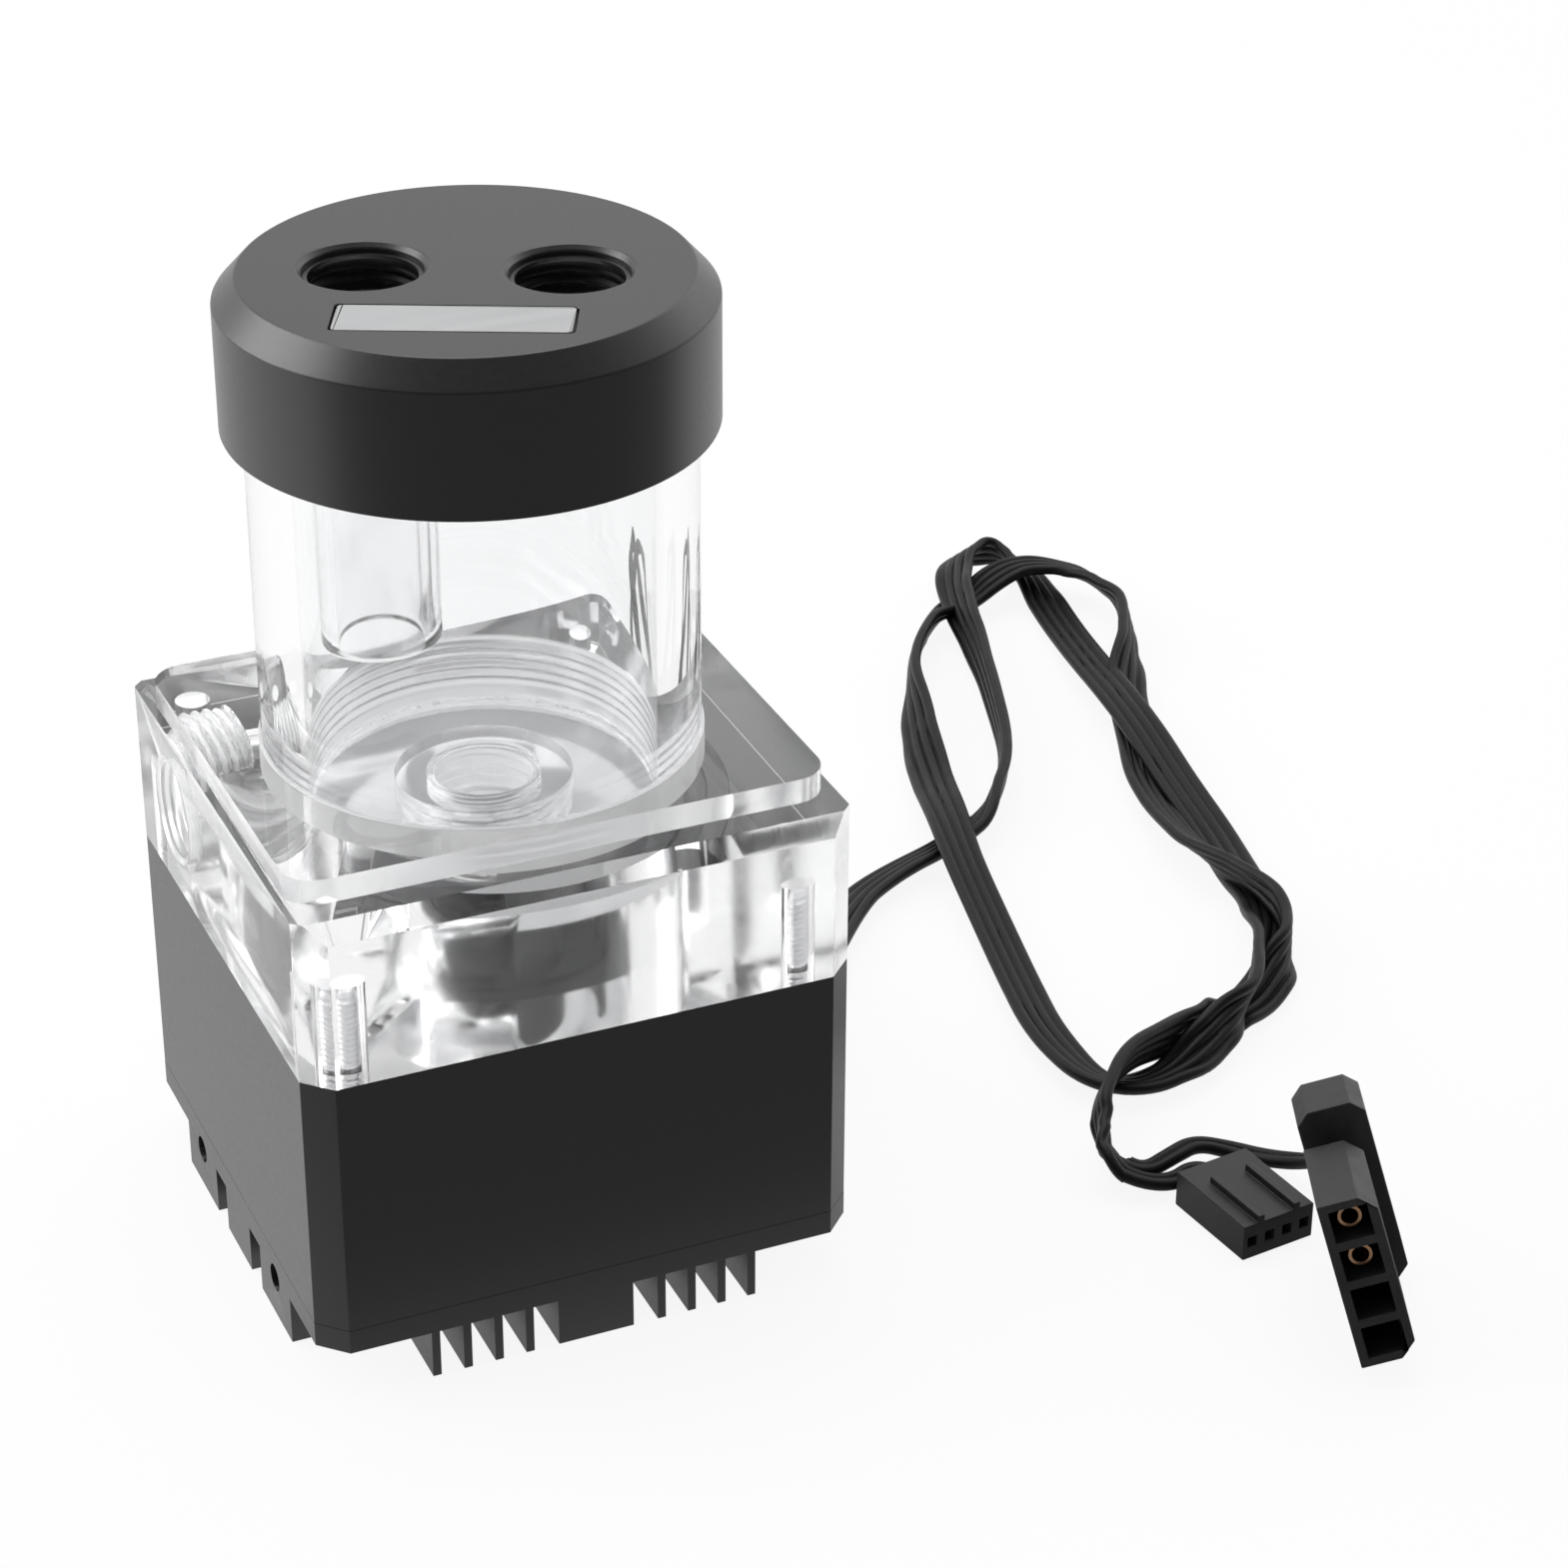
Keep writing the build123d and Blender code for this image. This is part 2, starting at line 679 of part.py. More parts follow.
def bend_radii(points):
    """Largest smooth bend at each corner of a route."""
    radii = []
    vectors = [Vector(*p) for p in points]
    for before, here, after in zip(vectors, vectors[1:], vectors[2:]):
        incoming = here - before
        outgoing = after - here
        half_turn = math.radians(incoming.get_angle(outgoing)) / 2
        shorter = min(incoming.length, outgoing.length)
        radii.append(bend_share * shorter / math.tan(half_turn))
    return radii


def make_cord(name, points, radius):
    """Round tube along a route of straight runs and tangent arcs."""
    radii = bend_radii(points)
    path = FilletPolyline(*points, radius=radii)
    section = Plane(origin=path @ 0, z_dir=path % 0) * Circle(radius)
    tube = sweep(section, path=path)
    expected = math.pi * radius ** 2 * path.length
    print(name, "length", round(path.length, 1), "least radius", round(min(radii), 1),
          "volume ratio", round(tube.volume / expected, 4))
    print("  radii", [round(r, 1) for r in radii])
    return tube


def make_fan_plug():
    """Four-way fan plug with two guide ribs on top and four contact holes."""
    body = Pos(-fan_plug_length / 2, 0, 0) * Box(fan_plug_length, fan_plug_width, fan_plug_height,
                                                 align=bottom_up)
    for side in (-1, 1):
        rib = Box(fan_rib_length, fan_rib_width, fan_rib_height, align=bottom_up)
        body += Pos(-fan_rib_length / 2, side * fan_rib_spacing / 2, fan_plug_height) * rib
    for i in range(way_count):
        hole = Box(fan_hole_depth, fan_hole, fan_hole)
        y = (i - (way_count - 1) / 2) * fan_pitch
        body -= Pos(-fan_hole_depth / 2, y, fan_plug_height / 2) * hole
    return fan_plane * body


def make_fan_plug_contacts():
    """Two sprung contacts, one behind each wired hole."""
    contacts = []
    for i in range(wired_ways):
        y = (i - (way_count - 1) / 2) * fan_pitch
        size = fan_hole - 2 * running_clearance
        hollow = size - 2 * fan_contact_wall
        contact = Box(fan_contact_length, size, size) - Box(fan_contact_length, hollow, hollow)
        middle = -fan_hole_depth + fan_contact_length / 2
        contacts.append(fan_plane * Pos(middle, y, fan_plug_height / 2) * contact)
    return contacts


def power_cell_places():
    """Heights of the four cells in the power plug's row."""
    middle = power_row_length / 2
    return [middle + (i - (way_count - 1) / 2) * power_pitch for i in range(way_count)]


def make_power_plug():
    """Four-way power plug: a body with open cells, a neck and a finger grip."""
    outline = Rectangle(power_width, power_row_length)
    outline = chamfer(outline.vertices().group_by(Axis.X)[-1], power_chamfer)
    section = Plane(origin=(0, 0, power_row_length / 2), x_dir=(0, 1, 0), z_dir=(-1, 0, 0))
    body = section * extrude(outline, power_body_length)
    cell_high = power_pitch - power_wall
    cell_wide = power_width - 2 * power_wall
    for z in power_cell_places():
        cell = Pos(-power_cell_depth / 2, 0, z) * Box(power_cell_depth, cell_wide, cell_high)
        body -= cell
    neck = Box(power_neck_length, power_neck_width, power_row_length - 2 * power_neck_inset)
    body += Pos(-power_body_length - power_neck_length / 2, 0, power_row_length / 2) * neck
    grip_high = power_row_length + power_grip_overhang
    grip = Box(power_grip_length, power_width + power_grip_side, grip_high)
    grip = chamfer(grip.edges().filter_by(Axis.X), power_grip_bevel)
    grip_x = -power_body_length - power_neck_length - power_grip_length / 2
    body += Pos(grip_x, power_grip_side / 2, power_row_length / 2 + power_grip_overhang / 2) * grip
    return power_plane * body


def make_power_plug_contacts():
    """Two rolled copper sockets in the upper cells."""
    contacts = []
    for z in power_cell_places()[-wired_ways:]:
        ring = Cylinder(power_contact_radius, power_contact_length, align=bottom_up)
        ring -= Cylinder(power_contact_radius - power_contact_wall, power_contact_length, align=bottom_up)
        start = Pos(-power_cell_depth, 0, z) * Rot(0, 90, 0)
        contacts.append(power_plane * start * ring)
    return contacts


main_seal_low = seal_z - main_seal_height
nodes = {
    "heatsink_base": make_heatsink_base(),
    "pump_housing": make_pump_housing(),
    "pump_top": make_pump_top(),
    "body_screws": make_body_screws(),
    "main_seal": seal_ring(main_seal_radius, seal_width, main_seal_low, seal_z),
    "isolation_cup": make_isolation_cup(),
    "stator_core": make_stator_core(),
    "stator_coils": make_stator_coils(),
    "thermal_pad": rod(pad_radius, pad_z, board_z),
    "circuit_board": rod(board_radius, board_z, board_z + board_thickness),
    "board_components": make_board_components(),
    "board_leads": make_board_leads(),
    "bearing_pin": make_bearing_pin(),
    "bearing_ball": make_bearing_ball(),
    "rotor_magnet": make_rotor_magnet(),
    "impeller": make_impeller(),
    "reservoir_tube": make_reservoir_tube(),
    "tube_seal": seal_ring(seal_mid_radius, seal_width, socket_z, tube_bottom_z),
    "top_cap": make_top_cap(),
    "cap_seal": seal_ring(seal_mid_radius, seal_width, tube_top_z, cap_roof_z),
    "nameplate": make_nameplate(),
    "drop_tube": make_drop_tube(),
    "cable_grommet": make_cable_grommet(),
    "ribbon_cable": make_cord("ribbon_cable", ribbon_points, ribbon_tube_radius),
    "fan_wires": make_cord("fan_wires", fan_wire_points, pair_tube_radius),
    "power_wires": make_cord("power_wires", power_wire_points, pair_tube_radius),
    "fan_plug": make_fan_plug(),
    "fan_plug_contacts": make_fan_plug_contacts(),
    "power_plug": make_power_plug(),
    "power_plug_contacts": make_power_plug_contacts(),
}

os.makedirs("parts", exist_ok=True)
for name, shape in nodes.items():
    if isinstance(shape, list):
        shape = Compound(children=shape)
    export_step(shape, f"parts/{name}.step")
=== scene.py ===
import json
import math
import bmesh
import bpy
from mathutils import Matrix, Vector


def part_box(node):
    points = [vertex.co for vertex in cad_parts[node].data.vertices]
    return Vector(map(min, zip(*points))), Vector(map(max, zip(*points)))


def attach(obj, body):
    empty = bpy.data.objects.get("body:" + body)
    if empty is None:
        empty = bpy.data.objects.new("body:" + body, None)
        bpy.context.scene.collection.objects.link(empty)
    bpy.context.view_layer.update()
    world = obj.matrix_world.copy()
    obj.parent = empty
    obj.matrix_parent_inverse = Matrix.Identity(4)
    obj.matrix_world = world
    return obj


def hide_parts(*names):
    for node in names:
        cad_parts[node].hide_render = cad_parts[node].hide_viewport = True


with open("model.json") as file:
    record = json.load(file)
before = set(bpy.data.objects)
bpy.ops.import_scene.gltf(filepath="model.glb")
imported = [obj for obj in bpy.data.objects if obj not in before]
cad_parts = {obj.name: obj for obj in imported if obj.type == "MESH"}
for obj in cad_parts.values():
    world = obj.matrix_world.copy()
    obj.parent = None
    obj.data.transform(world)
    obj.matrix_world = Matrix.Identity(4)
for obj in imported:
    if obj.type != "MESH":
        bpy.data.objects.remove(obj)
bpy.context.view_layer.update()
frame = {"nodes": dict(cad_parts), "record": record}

nodes = frame["nodes"]
scene = bpy.context.scene
MM = 0.001


def link(obj):
    """Put a new object into the scene."""
    scene.collection.objects.link(obj)
    return obj


# Camera at the photograph's place, in degrees and millimetres, with its near and far limits in metres
camera_azimuth = -23.978
camera_elevation = 28.959
camera_roll = 0.31
camera_target = (32.572, -11.333, 54.383)
camera_distance = 474.435
camera_lens = 94.354
camera_sensor = 36
camera_near = 0.01
camera_far = 20


def make_camera():
    azimuth, elevation = math.radians(camera_azimuth), math.radians(camera_elevation)
    roll = math.radians(camera_roll)
    back = Vector((math.sin(azimuth) * math.cos(elevation), -math.cos(azimuth) * math.cos(elevation),
                   math.sin(elevation)))
    right = Vector((math.cos(azimuth), math.sin(azimuth), 0))
    up = back.cross(right)
    right_rolled = right * math.cos(roll) + up * math.sin(roll)
    up_rolled = up * math.cos(roll) - right * math.sin(roll)
    data = bpy.data.cameras.new("camera")
    data.sensor_width = camera_sensor
    data.lens = camera_lens
    data.clip_start = camera_near
    data.clip_end = camera_far
    camera = link(bpy.data.objects.new("camera", data))
    matrix = Matrix((right_rolled, up_rolled, back)).transposed().to_4x4()
    matrix.translation = Vector(camera_target) * MM + back * (camera_distance * MM)
    camera.matrix_world = matrix
    scene.camera = camera


# Node helpers. Nearly all of a noise lies between these two values
noise_low = 0.3
noise_high = 0.7


def new_material(name):
    material = bpy.data.materials.new(name)
    material.use_nodes = True
    tree = material.node_tree
    return material, tree, tree.nodes["Principled BSDF"]


def coordinates(tree, stretch):
    source = tree.nodes.new("ShaderNodeTexCoord")
    mapping = tree.nodes.new("ShaderNodeMapping")
    mapping.inputs["Scale"].default_value = stretch
    tree.links.new(source.outputs["Object"], mapping.inputs["Vector"])
    return mapping.outputs["Vector"]


def noise(tree, scale, detail, stretch=(1, 1, 1)):
    node = tree.nodes.new("ShaderNodeTexNoise")
    node.inputs["Scale"].default_value = scale
    node.inputs["Detail"].default_value = detail
    tree.links.new(coordinates(tree, stretch), node.inputs["Vector"])
    return node.outputs["Fac"]


def span(tree, value, low, high, start=noise_low, end=noise_high):
    """Bring a value that runs from start to end to the range from low to high."""
    node = tree.nodes.new("ShaderNodeMapRange")
    node.inputs["From Min"].default_value = start
    node.inputs["From Max"].default_value = end
    node.inputs["To Min"].default_value = low
    node.inputs["To Max"].default_value = high
    tree.links.new(value, node.inputs["Value"])
    return node.outputs["Result"]


def tint(tree, value, dark, light):
    node = tree.nodes.new("ShaderNodeValToRGB")
    node.color_ramp.elements[0].position = noise_low
    node.color_ramp.elements[1].position = noise_high
    node.color_ramp.elements[0].color = (*dark, 1)
    node.color_ramp.elements[1].color = (*light, 1)
    tree.links.new(value, node.inputs["Fac"])
    return node.outputs["Color"]


def bump(tree, height, strength, distance):
    node = tree.nodes.new("ShaderNodeBump")
    node.inputs["Strength"].default_value = strength
    node.inputs["Distance"].default_value = distance
    tree.links.new(height, node.inputs["Height"])
    return node.outputs["Normal"]


def larger(tree, first, second):
    node = tree.nodes.new("ShaderNodeMath")
    node.operation = "MAXIMUM"
    tree.links.new(first, node.inputs[0])
    tree.links.new(second, node.inputs[1])
    return node.outputs[0]


def light_rays(tree, *kinds):
    """1 where the ray is one of these kinds."""
    path = tree.nodes.new("ShaderNodeLightPath")
    value = path.outputs[kinds[0]]
    for kind in kinds[1:]:
        value = larger(tree, value, path.outputs[kind])
    return value


def mix_by(tree, share, first, second, output):
    """Mix two shaders and lead them to the output: the share is the second one's."""
    mix = tree.nodes.new("ShaderNodeMixShader")
    tree.links.new(share, mix.inputs[0])
    tree.links.new(first.outputs[0], mix.inputs[1])
    tree.links.new(second.outputs[0], mix.inputs[2])
    tree.links.new(mix.outputs[0], tree.nodes[output].inputs["Surface"])


slow_detail = 4.0
fine_detail = 3.0
ripple_detail = 2.0
acrylic_ior = 1.49
ripple_depth = 0.00005


def surface(name, dark, light, rough, metallic=0.0, ior=1.5, grain=3000, coarse=400, strength=0.2,
            depth=0.00003, stretch=(1, 1, 1)):
    """Opaque material: colour and gloss vary slowly, and a fine grain stands in relief."""
    material, tree, shader = new_material(name)
    slow = noise(tree, coarse, slow_detail, stretch)
    fine = noise(tree, grain, fine_detail, stretch)
    tree.links.new(tint(tree, slow, dark, light), shader.inputs["Base Color"])
    tree.links.new(span(tree, slow, rough[0], rough[1]), shader.inputs["Roughness"])
    tree.links.new(bump(tree, fine, strength, depth), shader.inputs["Normal"])
    shader.inputs["Metallic"].default_value = metallic
    shader.inputs["IOR"].default_value = ior
    return material


def clear(name, tone, rough, ripple=0.02, grain=250, through=1.0):
    """Clear plastic: a faint ripple and slightly varied polish. A little white haze where less goes through.

    Soft light and shadow rays go straight through, so that what is inside is lit.
    """
    material, tree, shader = new_material(name)
    slow = noise(tree, grain, ripple_detail)
    shader.inputs["Base Color"].default_value = (*tone, 1)
    shader.inputs["Transmission Weight"].default_value = through
    shader.inputs["IOR"].default_value = acrylic_ior
    tree.links.new(span(tree, slow, rough[0], rough[1]), shader.inputs["Roughness"])
    tree.links.new(bump(tree, slow, ripple, ripple_depth), shader.inputs["Normal"])
    passed = tree.nodes.new("ShaderNodeBsdfTransparent")
    passed.inputs["Color"].default_value = (*tone, 1)
    mix_by(tree, light_rays(tree, "Is Shadow Ray", "Is Diffuse Ray"), shader, passed, "Material Output")
    return material


polished_tone = (0.985, 0.988, 0.992)
cut_tone = (0.985, 0.987, 0.99)
materials = {
    "black_anodised": surface("black_anodised", (0.006, 0.006, 0.0062), (0.008, 0.008, 0.0082), (0.34, 0.39),
                              ior=1.68, grain=9000, coarse=2200, strength=0.02, depth=0.00002),
    # Darker and less glossy than the anodised cap: painted shade for the inside of the cap's ports
    "port_painted_shade": surface("port_painted_shade", (0.003, 0.003, 0.003), (0.004, 0.004, 0.004), (0.42, 0.5),
                          ior=1.3, grain=9000, strength=0.05),
    "clear_acrylic": clear("clear_acrylic", polished_tone, (0.0, 0.015)),
    "soft_acrylic": clear("soft_acrylic", cut_tone, (0.05, 0.09), ripple=0.01, grain=900, through=0.98),
    "satin_acrylic": clear("satin_acrylic", cut_tone, (0.1, 0.17), ripple=0.01, grain=900, through=0.97),
    "milled_acrylic": clear("milled_acrylic", cut_tone, (0.3, 0.4), grain=2500, through=0.72),
    "seal_silicone": clear("seal_silicone", (0.9, 0.91, 0.92), (0.35, 0.5), ripple=0.1, grain=2000,
                           through=0.7),
    "screw_steel": surface("screw_steel", (0.72, 0.72, 0.73), (0.82, 0.82, 0.83), (0.28, 0.38),
                           metallic=1.0, grain=5000, strength=0.05),
    "seal_rubber": surface("seal_rubber", (0.012, 0.012, 0.012), (0.02, 0.02, 0.021), (0.5, 0.65),
                           grain=4000),
    "black_plastic": surface("black_plastic", (0.012, 0.012, 0.013), (0.02, 0.02, 0.021), (0.4, 0.5),
                             grain=3500, strength=0.05),
    "core_steel": surface("core_steel", (0.3, 0.3, 0.31), (0.42, 0.42, 0.43), (0.35, 0.5),
                          metallic=1.0, grain=4000),
    "copper_winding": surface("copper_winding", (0.6, 0.25, 0.11), (0.78, 0.38, 0.19), (0.2, 0.3),
                              metallic=1.0, grain=2500, strength=0.6, depth=0.0002),
    "pad_silicone": surface("pad_silicone", (0.36, 0.41, 0.48), (0.43, 0.48, 0.55), (0.6, 0.75)),
    "board_laminate": surface("board_laminate", (0.02, 0.13, 0.055), (0.035, 0.18, 0.08), (0.3, 0.45),
                              grain=6000),
    "chip_plastic": surface("chip_plastic", (0.022, 0.022, 0.024), (0.036, 0.036, 0.038), (0.5, 0.6),
                            grain=5000),
    "pin_steel": surface("pin_steel", (0.56, 0.57, 0.58), (0.64, 0.65, 0.66), (0.12, 0.2),
                         metallic=1.0, grain=6000),
    "bearing_ceramic": surface("bearing_ceramic", (0.86, 0.85, 0.8), (0.92, 0.91, 0.87), (0.12, 0.2),
                               grain=6000, strength=0.05),
    "magnet_ferrite": surface("magnet_ferrite", (0.07, 0.07, 0.08), (0.11, 0.11, 0.12), (0.5, 0.65),
                              grain=5000),
    "plate_silver": surface("plate_silver", (0.43, 0.435, 0.44), (0.48, 0.485, 0.49), (0.3, 0.42),
                            metallic=0.6, grain=2500, stretch=(0.08, 1, 1), strength=0.15),
    "cable_sheath": surface("cable_sheath", (0.004, 0.004, 0.0042), (0.007, 0.007, 0.0073), (0.4, 0.5),
                            ior=1.31, grain=2500),
    "plug_plastic": surface("plug_plastic", (0.012, 0.012, 0.0125), (0.018, 0.018, 0.0185), (0.38, 0.5),
                            ior=1.46, grain=4000),
    "contact_brass": surface("contact_brass", (0.7, 0.54, 0.24), (0.82, 0.66, 0.34), (0.25, 0.35),
                             metallic=1.0),
    "contact_copper": surface("contact_copper", (0.72, 0.4, 0.22), (0.86, 0.54, 0.34), (0.2, 0.3),
                              metallic=1.0),
}
record = frame["record"]
slot_of = {row["node"]: row["material_slot"] for row in record["subparts"]}
body_of = {node: body for body, members in record["behaviour"]["bodies"].items() for node in members}


def paint(obj, material):
    if obj.material_slots:
        for place in obj.material_slots:
            place.material = material
    else:
        obj.data.materials.append(material)


for node_name, node in nodes.items():
    paint(node, materials[slot_of[node_name]])


# Mesh helpers
def seat(obj, node_name, material=None, replace=True):
    """Dress a new piece: its material, its body and the node that it stands for."""
    name = slot_of[node_name]
    obj.data.materials.clear()
    obj.data.materials.append(material or materials[name])
    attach(obj, body_of[node_name])
    if replace:
        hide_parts(node_name)
    return obj


def share_faces(obj, others, choose):
    """Give some faces other materials: choose says 0 for the first one, then 1, 2 and so on."""
    for material in others:
        obj.data.materials.append(material)
    for face in obj.data.polygons:
        face.material_index = choose(face.center / MM, face.normal)


smooth_angle = 28
weld_distance = 2e-7
flat_angle = math.radians(0.3)
edge_angle = math.radians(30)
edge_segments = 2
corner_segments = 6
corner_profile = 0.5
upright_share = 0.9


def smooth_by_angle(mesh, degrees=smooth_angle):
    for face in mesh.polygons:
        face.use_smooth = True
    mesh.set_sharp_from_angle(angle=math.radians(degrees))


def mesh_object(name, verts, faces, smooth=smooth_angle):
    mesh = bpy.data.meshes.new(name)
    mesh.from_pydata([tuple(v) for v in verts], [], faces)
    mesh.validate()
    mesh.update()
    smooth_by_angle(mesh, smooth)
    return link(bpy.data.objects.new(name, mesh))


def apply_modifiers(obj):
    """Keep the mesh that an object's modifiers make, without the modifiers."""
    bpy.context.view_layer.update()
    finished = obj.evaluated_get(bpy.context.evaluated_depsgraph_get())
    mesh = bpy.data.meshes.new_from_object(finished)
    obj.modifiers.clear()
    obj.data = mesh


def upright(edge):
    return abs((edge.verts[0].co - edge.verts[1].co).normalized().z) > upright_share


def skin(node_name, name, bevel=0.0, shift=None, corner=0.0):
    """A finer copy of a node: joined facets, rounded upright edges, softened edges and smooth shading."""
    mesh = bpy.data.meshes.new(name)
    work = bmesh.new()
    work.from_mesh(nodes[node_name].data)
    bmesh.ops.remove_doubles(work, verts=work.verts, dist=weld_distance)
    if shift:
        for vert in work.verts:
            vert.co = shift(vert.co)
    bmesh.ops.dissolve_limit(work, angle_limit=flat_angle, verts=work.verts, edges=work.edges)
    if corner:
        edges = [edge for edge in work.edges if upright(edge)]
        bmesh.ops.bevel(work, geom=edges, offset=corner, segments=corner_segments, profile=corner_profile,
                        affect="EDGES")
    work.to_mesh(mesh)
    work.free()
    smooth_by_angle(mesh)
    obj = link(bpy.data.objects.new(name, mesh))
    if bevel:
        modifier = obj.modifiers.new("edges", "BEVEL")
        modifier.width = bevel
        modifier.segments = edge_segments
        modifier.limit_method = "ANGLE"
        modifier.angle_limit = edge_angle
        modifier.use_clamp_overlap = True
        modifier.harden_normals = True
        apply_modifiers(obj)
    return seat(obj, node_name)


def unite(obj, others):
    """Make one body of an object and others, which go."""
    for other in others:
        modifier = obj.modifiers.new("join", "BOOLEAN")
        modifier.operation = "UNION"
        modifier.solver = "EXACT"
        modifier.object = other
    apply_modifiers(obj)
    for other in others:
        bpy.data.objects.remove(other)


ridge_slope = 1.6
ridge_cut = 0.3
thread_steps = 10


def thread_depth(turns):
    """Height of a rounded thread ridge, from 0 in the root to 1 on the crest."""
    phase = turns - math.floor(turns)
    return min(1.0, max(0.0, ridge_slope * (1 - abs(2 * phase - 1)) - ridge_cut))


def hexagon(angle):
    """Distance of a hexagon's side from its centre, for corners at a distance of 1."""
    sixth = math.pi / 3
    return math.cos(sixth / 2) / math.cos(angle % sixth - sixth / 2)


def lathe(rings, segments, closed=True, hexed=0):
    """Turned shape from rings (radius, height, crest change, pitch), in metres.

    A closed one joins its last ring to its first. An open one is filled at both ends, and its first rings
    may be hexagons.
    """
    verts, faces = [], []
    for row, (radius, height, change, pitch) in enumerate(rings):
        for i in range(segments):
            angle = 2 * math.pi * i / segments
            r = radius
            if change:
                r += change * thread_depth(height / pitch - i / segments)
            if row < hexed:
                r *= hexagon(angle)
            verts.append((r * math.cos(angle), r * math.sin(angle), height))
    for row in range(len(rings) if closed else len(rings) - 1):
        start = row * segments
        following = (row + 1) % len(rings) * segments
        for i in range(segments):
            j = (i + 1) % segments
            faces.append((start + i, start + j, following + j, following + i))
    if not closed:
        faces.append(tuple(range(segments - 1, -1, -1)))
        faces.append(tuple((len(rings) - 1) * segments + i for i in range(segments)))
    return verts, faces


def threaded(radius, low, high, depth, pitch, steps=thread_steps):
    """Rings of a threaded stretch between two heights, in millimetres. Its crests stand out by the depth."""
    count = max(2, int(abs(high - low) / pitch * steps))
    rings = []
    for i in range(count + 1):
        height = low + (high - low) * i / count
        fade = min(1.0, min(i, count - i) / steps)
        rings.append((radius * MM, height * MM, depth * fade * MM, pitch * MM))
    return rings


def plain(*pairs):
    """Rings without a thread, from radii and heights in millimetres."""
    return [(radius * MM, height * MM, 0.0, 1.0) for radius, height in pairs]


def moved(shape, place):
    verts, faces = shape
    return [place(Vector(v)) for v in verts], faces


def joined(*shapes):
    verts, faces = [], []
    for more_verts, more_faces in shapes:
        start = len(verts)
        verts.extend(more_verts)
        faces.extend(tuple(start + k for k in face) for face in more_faces)
    return verts, faces


make_camera()

# Flat cable as it lies in the photograph, in millimetres: from the housing round its loops to the split
floor_z = 1.2
hump_z = 4.4
ribbon_route = [
    (34.0, 8.0, 11.7), (40.5, 8.4, 11.6), (47.5, 13.0, 8.6), (52.5, 24.6, 4.2), (64.6, 40.4, 1.9),
    (73.4, 46.2, 1.9), (86.0, 50.6, 2.1), (93.5, 55.0, 3.4), (102.6, 67.0, 3.7), (108.9, 85.0, 3.7),
    (113.3, 99.0, 3.8), (116.0, 110.5, 4.8), (119.2, 120.0, 5.0), (123.2, 126.5, 4.8), (127.8, 129.4, 3.8),
    (132.0, 128.4, 3.4), (133.5, 122.0, 2.2), (132.4, 114.0, floor_z), (130.7, 104.8, floor_z),
    (128.0, 92.0, 2.6), (125.2, 77.2, hump_z), (123.4, 64.6, hump_z), (122.0, 53.0, 2.8),
    (121.2, 41.5, floor_z), (119.0, 31.0, floor_z), (115.2, 16.2, 2.6), (108.2, 5.0, 4.8),
    (101.6, -4.5, 5.4), (95.0, -9.2, 4.6), (84.6, -13.8, 1.7), (75.6, -12.6, 2.0), (75.2, 1.4, 1.9),
    (78.0, 14.8, 1.6), (80.8, 29.0, 2.6), (82.8, 42.0, 5.0), (86.4, 54.5, 5.0), (90.5, 68.0, 2.6),
    (95.6, 83.0, 3.1), (101.8, 98.0, 3.6), (110.0, 110.0, 3.4), (119.0, 116.5, 2.0), (126.9, 118.4, 5.6),
    (132.9, 119.2, 5.2), (138.4, 116.0, 4.4), (140.8, 108.6, 3.8), (139.2, 100.2, 3.8), (134.8, 91.3, 3.5),
    (128.6, 80.5, 2.0), (124.6, 69.5, 1.5), (118.9, 57.0, 1.9), (116.0, 46.0, 2.4), (113.4, 31.0, 4.6),
    (116.0, 19.4, 5.0), (116.2, 11.8, 3.9), (111.8, 4.2, 3.8), (104.2, -1.8, 1.7), (97.5, -4.7, 2.4),
    (87.2, -8.4, 4.5), (77.4, -13.9, 6.9), (71.0, -20.9, 6.4), (69.9, -23.6, 4.6), (68.9, -26.6, 3.7),
    (68.9, -29.2, 3.1), (70.2, -30.6, 2.3),
]
# Its turn about its own line, in degrees at the route's points. It stands on edge at 90
ribbon_twist = [
    (0, 0), (3, 4), (4, 20), (5, 24), (6, 28), (7, 78), (8, 88), (9, 84), (10, 70), (11, 50), (12, 24),
    (13, 40), (14, 64), (15, 50), (16, 20), (17, 0), (24, 0), (25, 28), (26, 88), (27, 110), (28, 50),
    (29, -14), (30, -24), (31, -16), (34, -16), (36, 6), (37, 45), (38, 84), (39, 70), (40, 12), (41, 2),
    (42, 6), (43, 18), (44, 46), (45, 78), (46, 68), (47, 20), (48, 6), (49, 18), (50, 26), (51, 34),
    (52, 68), (53, 92), (54, 88), (55, 16), (56, 4), (57, 92), (58, 108), (59, 108), (60, 102), (61, 86),
    (62, 52), (63, 15),
]
# The two pairs after the split, which lie level at their plugs
fan_route = [
    (68.8, -31.25, 2.95), (70.4, -32.8, 2.2), (74.4, -33.9, 1.6), (78.2, -33.0, 2.35), (78.6, -35.3, 2.35),
]
power_route = [
    (70.75, -29.0, 2.2), (72.2, -30.4, 1.5), (76.2, -30.0, 2.6), (80.0, -28.9, 2.8), (84.0, -30.2, 1.6),
    (87.4, -33.6, 1.4), (90.2, -39.2, 3.6), (89.4, -46.8, 9.2), (86.32, -52.4, 10.78),
]
split_twist = [(0, 15), (1, 0)]
# Width of one core, the angle where its neighbour begins, and the points of its arc
core = 1.55
groove_angle = 20
core_points = 8
spline_resolution = 10
cable_smooth = 60


